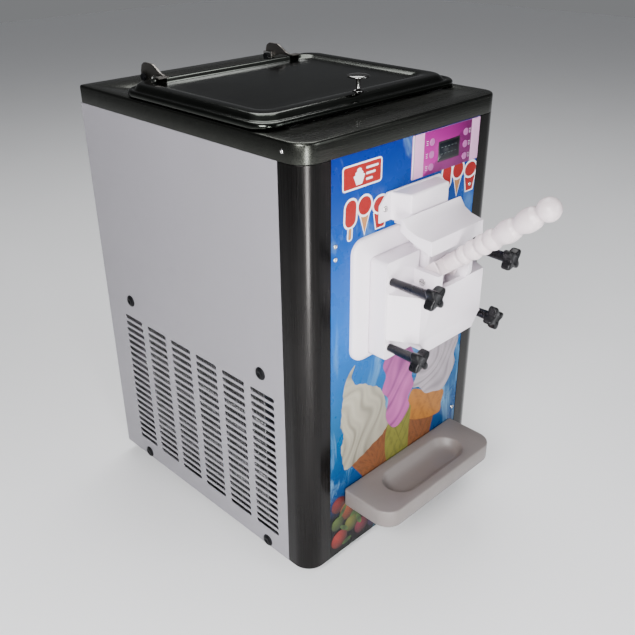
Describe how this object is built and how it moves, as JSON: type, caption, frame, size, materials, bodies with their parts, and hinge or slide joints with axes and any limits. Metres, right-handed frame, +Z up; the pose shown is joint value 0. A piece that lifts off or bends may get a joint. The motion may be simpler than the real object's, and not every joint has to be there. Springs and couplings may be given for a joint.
{
  "type": "soft serve machine",
  "caption": "Countertop soft serve freezer: steel cabinet, hinged hopper lid, bolted draw head with a lever handle, star knobs, control panel and a lift-off drip tray.",
  "frame": {"origin": "on the surface the machine stands on, below the middle of its whole outline including the handle", "axes": "+Z up, -Y towards the person at the front, +X to that person's right"},
  "size_m": [0.3868, 0.6839, 0.688],
  "materials": {
    "galvanised_sheet": "plain galvanised sheet",
    "side_paint": "light lilac-grey powder coat",
    "brushed_steel": "vertical brushed grain",
    "mirror_steel": "near-mirror pressed stainless",
    "bright_steel": "bright turned steel",
    "chrome_trim": "polished",
    "black_rubber": "matte",
    "black_plastic": "fine matte",
    "white_plastic": "satin moulded",
    "handle_plastic": "turned, satin",
    "knob_plastic": "moulded satin",
    "tray_plastic": "satin moulded",
    "front_graphic": "printed film over sheet",
    "panel_film": "printed film",
    "display_glass": "display window",
    "button_rubber": "soft",
    "insulation": "closed-cell foam",
    "cast_aluminium": "as cast",
    "fin_aluminium": "thin fins",
    "cast_iron": "machined",
    "motor_paint": "enamel",
    "compressor_paint": "gloss black enamel",
    "fan_plastic": "moulded",
    "screw_black": "black domed heads, with small plain steel ones on the front",
    "copper": "drawn copper tube"
  },
  "bodies": {
    "cabinet": {"base_pan": "galvanised_sheet", "beater_motor": "motor_paint", "cabinet_screws": "screw_black", "compressor": "compressor_paint", "condenser": "fin_aluminium", "control_box": "black_plastic", "control_panel": "panel_film", "cord_gland": "black_plastic", "cylinder_jacket": "insulation", "display_window": "display_glass", "drive_belt": "black_rubber", "drive_bulkhead": "galvanised_sheet", "fan_motor": "motor_paint", "fan_shroud": "black_plastic", "feed_tube": "white_plastic", "freezing_cylinder": "bright_steel", "front_panel": "front_graphic", "front_posts": "brushed_steel", "gearbox": "cast_aluminium", "handle_hood": "white_plastic", "head_gasket": "black_rubber", "head_studs": "bright_steel", "hinge_bolts": "black_plastic", "hinge_brackets": "bright_steel", "hopper_tub": "mirror_steel", "rear_panel": "side_paint", "rear_posts": "galvanised_sheet", "refrigerant_pipes": "copper", "rubber_feet": "black_rubber", "side_panel_left": "side_paint", "side_panel_right": "side_paint", "stud_washers": "white_plastic", "surround": "white_plastic", "switch_cover": "white_plastic", "top_cap": "brushed_steel", "tray_studs": "bright_steel", "valve_block": "white_plastic"},
    "lid": {"lid": "mirror_steel", "lid_knob": "chrome_trim", "lid_ears": "bright_steel"},
    "handle": {"draw_handle": "handle_plastic", "handle_pins": "bright_steel"},
    "plunger": {"valve_plunger": "white_plastic", "plunger_rings": "black_rubber"},
    "tray": {"drip_tray": "tray_plastic"},
    "dasher": {"dasher": "bright_steel", "scraper_blades": "white_plastic"},
    "gearbox_pulley": {"gearbox_pulley": "cast_iron"},
    "motor_pulley": {"motor_pulley": "cast_iron"},
    "fan": {"fan_blades": "fan_plastic"},
    "button_1": {"button_1": "button_rubber"},
    "button_2": {"button_2": "button_rubber"},
    "button_3": {"button_3": "button_rubber"},
    "button_4": {"button_4": "button_rubber"},
    "button_5": {"button_5": "button_rubber"},
    "button_6": {"button_6": "button_rubber"},
    "star_knob_1": {"star_knob_1": "knob_plastic"},
    "star_knob_2": {"star_knob_2": "knob_plastic"},
    "star_knob_3": {"star_knob_3": "knob_plastic"},
    "star_knob_4": {"star_knob_4": "knob_plastic"}
  },
  "joints": [
    {"name": "lid_hinge", "type": "hinge", "parent": "cabinet", "child": "lid", "pos_m": [0, 0.2645, 0.661], "axis": [-1, 0, 0], "range_deg": [0, 95]},
    {"name": "handle_hinge", "type": "hinge", "parent": "cabinet", "child": "handle", "pos_m": [0.006, -0.184, 0.451], "axis": [1, 0, 0], "range_deg": [0, 40]},
    {"name": "plunger_slide", "type": "slide", "parent": "cabinet", "child": "plunger", "axis": [0, 0, 1], "range_m": [0, 0.0125]},
    {"name": "tray_lift", "type": "slide", "parent": "cabinet", "child": "tray", "axis": [0, 0, 1], "range_m": [0, 0.01]},
    {"name": "dasher_spin", "type": "hinge", "parent": "cabinet", "child": "dasher", "pos_m": [0.006, 0, 0.42], "axis": [0, 1, 0], "continuous": true},
    {"name": "gearbox_pulley_spin", "type": "hinge", "parent": "cabinet", "child": "gearbox_pulley", "pos_m": [0.006, 0.197, 0.42], "axis": [0, 1, 0], "continuous": true},
    {"name": "motor_pulley_spin", "type": "hinge", "parent": "cabinet", "child": "motor_pulley", "pos_m": [0.006, 0.197, 0.275], "axis": [0, 1, 0], "continuous": true},
    {"name": "fan_spin", "type": "hinge", "parent": "cabinet", "child": "fan", "pos_m": [-0.112, 0.112, 0.18], "axis": [1, 0, 0], "continuous": true},
    {"name": "button_1_press", "type": "slide", "parent": "cabinet", "child": "button_1", "axis": [0, 1, 0], "range_m": [0, 0.0006], "stiffness_N_per_m": 600},
    {"name": "button_2_press", "type": "slide", "parent": "cabinet", "child": "button_2", "axis": [0, 1, 0], "range_m": [0, 0.0006], "stiffness_N_per_m": 600},
    {"name": "button_3_press", "type": "slide", "parent": "cabinet", "child": "button_3", "axis": [0, 1, 0], "range_m": [0, 0.0006], "stiffness_N_per_m": 600},
    {"name": "button_4_press", "type": "slide", "parent": "cabinet", "child": "button_4", "axis": [0, 1, 0], "range_m": [0, 0.0006], "stiffness_N_per_m": 600},
    {"name": "button_5_press", "type": "slide", "parent": "cabinet", "child": "button_5", "axis": [0, 1, 0], "range_m": [0, 0.0006], "stiffness_N_per_m": 600},
    {"name": "button_6_press", "type": "slide", "parent": "cabinet", "child": "button_6", "axis": [0, 1, 0], "range_m": [0, 0.0006], "stiffness_N_per_m": 600},
    {"name": "star_knob_1_turn", "type": "hinge", "parent": "cabinet", "child": "star_knob_1", "pos_m": [-0.076, -0.193, 0.463], "axis": [0, -1, 0], "continuous": true},
    {"name": "star_knob_2_turn", "type": "hinge", "parent": "cabinet", "child": "star_knob_2", "pos_m": [0.088, -0.193, 0.463], "axis": [0, -1, 0], "continuous": true},
    {"name": "star_knob_3_turn", "type": "hinge", "parent": "cabinet", "child": "star_knob_3", "pos_m": [-0.076, -0.193, 0.369], "axis": [0, -1, 0], "continuous": true},
    {"name": "star_knob_4_turn", "type": "hinge", "parent": "cabinet", "child": "star_knob_4", "pos_m": [0.088, -0.193, 0.369], "axis": [0, -1, 0], "continuous": true}
  ],
  "couplings": [
    {"joint": "plunger_slide", "follows": "handle_hinge", "m_per_rad": 0.01763},
    {"joint": "gearbox_pulley_spin", "follows": "dasher_spin", "ratio": 4},
    {"joint": "motor_pulley_spin", "follows": "dasher_spin", "ratio": 10.4}
  ]
}
